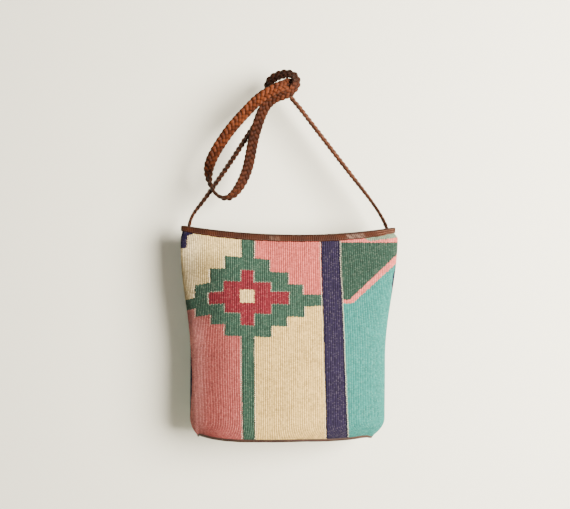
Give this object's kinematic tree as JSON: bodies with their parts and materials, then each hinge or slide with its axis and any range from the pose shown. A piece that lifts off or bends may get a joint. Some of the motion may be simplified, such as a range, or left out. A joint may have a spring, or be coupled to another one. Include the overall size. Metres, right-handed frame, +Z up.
{
  "type": "kilim bag",
  "caption": "Woven kilim shoulder bag with an oval leather base, leather-bound mouth and a long flat braided leather strap, hung up by its strap.",
  "frame": {"origin": "the place where the strap bears on the hook or peg that the bag hangs from", "axes": "+Z up, +X to the right as the front is looked at, front towards -Y"},
  "size_m": [0.3019, 0.0994, 0.5168],
  "materials": {
    "kilim": "matt ribbed wool weave in fields of cream, pink, green, red, dark purple and turquoise",
    "lining_cotton": "matt plain cotton",
    "rim_leather": "thin worn brown leather, satin",
    "base_leather": "dark brown leather, satin",
    "braided_leather": "tan braided leather, satin, worn darker at the edges"
  },
  "bodies": {
    "root": {"kilim_front": "kilim", "kilim_back": "kilim", "lining": "lining_cotton", "rim_binding": "rim_leather", "base_leather": "base_leather", "strap": "braided_leather", "strap_tab_left": "base_leather", "strap_tab_right": "base_leather"}
  },
  "joints": []
}
